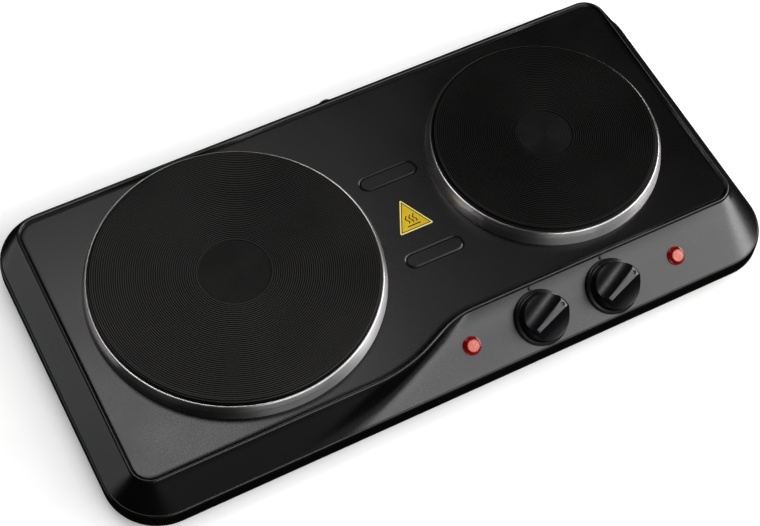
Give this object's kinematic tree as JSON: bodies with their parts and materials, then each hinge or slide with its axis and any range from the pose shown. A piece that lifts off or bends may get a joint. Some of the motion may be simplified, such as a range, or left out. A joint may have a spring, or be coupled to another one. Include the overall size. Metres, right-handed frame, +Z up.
{
  "type": "double electric hot plate",
  "caption": "Low black table-top electric hot plate with a large and a small grooved cast-iron plate, turning control knobs and red pilot lamps.",
  "frame": {"origin": "on the table, under the centre of the housing", "axes": "+Z up, +X along the long side towards the small plate, +Y from the control panel towards the back"},
  "size_m": [0.464, 0.2374, 0.0525],
  "materials": {
    "black_enamel": "satin black baked paint",
    "zinc_sheet": "black painted pressed sheet",
    "cast_iron_black": "matt black heat-resistant coating",
    "stainless": "polished stainless steel",
    "galvanised": "zinc-plated steel",
    "aluminised": "aluminised sheet",
    "nickel_chrome": "oxidised nickel-chrome alloy",
    "ceramic": "unglazed steatite",
    "magnesia": "pressed magnesia filling",
    "brass": "plain brass",
    "bimetal": "rolled bimetal strip",
    "knob_black": "glossy black phenolic",
    "lens_red": "translucent red lens",
    "bulb_glass": "neon bulb glass",
    "rubber_black": "soft black rubber",
    "yellow_label": "printed yellow foil",
    "terminal_white": "white moulded plastic",
    "wire_sleeve": "silicone wire sleeve"
  },
  "bodies": {
    "housing": {"top_housing": "black_enamel", "base_cover": "zinc_sheet", "hot_surface_label": "yellow_label", "cord_grommet": "rubber_black", "mains_terminal_block": "terminal_white", "earth_screw": "brass", "earth_nut": "brass", "internal_wiring": "wire_sleeve", "support_pillars": "galvanised", "base_screws": "galvanised", "foot_screws": "galvanised", "rubber_foot_front_left": "rubber_black", "rubber_foot_front_right": "rubber_black", "rubber_foot_back_left": "rubber_black", "rubber_foot_back_right": "rubber_black", "large_hotplate": "cast_iron_black", "large_trim_ring": "stainless", "large_heating_coil": "nickel_chrome", "large_element_filling": "magnesia", "large_under_cover": "galvanised", "large_terminal_insulator": "ceramic", "large_centre_stud": "galvanised", "large_clamp_bridge": "galvanised", "large_heat_shield": "aluminised", "large_centre_nut": "galvanised", "small_hotplate": "cast_iron_black", "small_trim_ring": "stainless", "small_heating_coil": "nickel_chrome", "small_element_filling": "magnesia", "small_under_cover": "galvanised", "small_terminal_insulator": "ceramic", "small_centre_stud": "galvanised", "small_clamp_bridge": "galvanised", "small_heat_shield": "aluminised", "small_centre_nut": "galvanised", "left_bushing_nut": "galvanised", "left_thermostat_bracket": "galvanised", "left_thermostat_body": "ceramic", "left_bimetal_blade": "bimetal", "left_thermostat_terminals": "brass", "right_bushing_nut": "galvanised", "right_thermostat_bracket": "galvanised", "right_thermostat_body": "ceramic", "right_bimetal_blade": "bimetal", "right_thermostat_terminals": "brass", "left_lamp_lens": "lens_red", "left_lamp_bulb": "bulb_glass", "left_lamp_clip": "galvanised", "right_lamp_lens": "lens_red", "right_lamp_bulb": "bulb_glass", "right_lamp_clip": "galvanised"},
    "left_control": {"left_knob": "knob_black", "left_spindle": "galvanised"},
    "right_control": {"right_knob": "knob_black", "right_spindle": "galvanised"}
  },
  "joints": [
    {"name": "left_knob_turn", "type": "hinge", "parent": "housing", "child": "left_control", "pos_m": [0.0584, -0.10034, 0.02814], "axis": [0, -0.5122, 0.8588], "range_deg": [-204, 66]},
    {"name": "right_knob_turn", "type": "hinge", "parent": "housing", "child": "right_control", "pos_m": [0.1106, -0.10034, 0.02814], "axis": [0, -0.5122, 0.8588], "range_deg": [-204, 66]}
  ]
}
